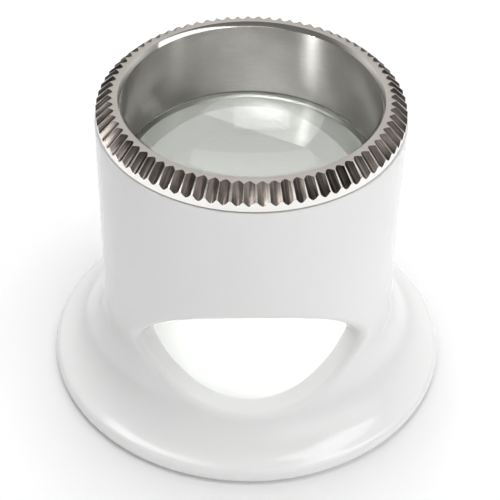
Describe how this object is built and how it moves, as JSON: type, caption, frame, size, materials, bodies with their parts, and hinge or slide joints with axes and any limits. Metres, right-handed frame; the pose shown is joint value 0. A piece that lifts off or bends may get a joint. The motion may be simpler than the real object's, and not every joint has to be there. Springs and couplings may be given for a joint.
{
  "type": "eye loupe",
  "caption": "Eye loupe: white moulded cup with two side windows and a flared eye rim, and a knurled steel ring that screws in and holds a convex glass lens.",
  "frame": {"origin": "centre of the rim's resting face, on the axis of the lens", "axes": "+Z along the optical axis, from the eye rim towards the knurled ring; -Y through the front window"},
  "size_m": [0.0416, 0.0416, 0.0328],
  "materials": {
    "white_plastic": "gloss",
    "steel": "turned, satin bore and polished edges",
    "lens_glass": "polished"
  },
  "bodies": {
    "cup": {"eye_cup": "white_plastic"},
    "lens_carriage": {"lens": "lens_glass"},
    "ring": {"lens_ring": "steel", "lens_retainer": "steel"}
  },
  "joints": [
    {"name": "ring_rise", "type": "slide", "parent": "cup", "child": "lens_carriage", "axis": [0, 0, 1], "range_m": [0, 0.0042]},
    {"name": "ring_turn", "type": "hinge", "parent": "lens_carriage", "child": "ring", "pos_m": [0, 0, 0.0304], "axis": [0, 0, 1], "range_deg": [0, 2016]}
  ],
  "couplings": [
    {"joint": "ring_rise", "follows": "ring_turn", "m_per_rad": 0.00011937}
  ]
}
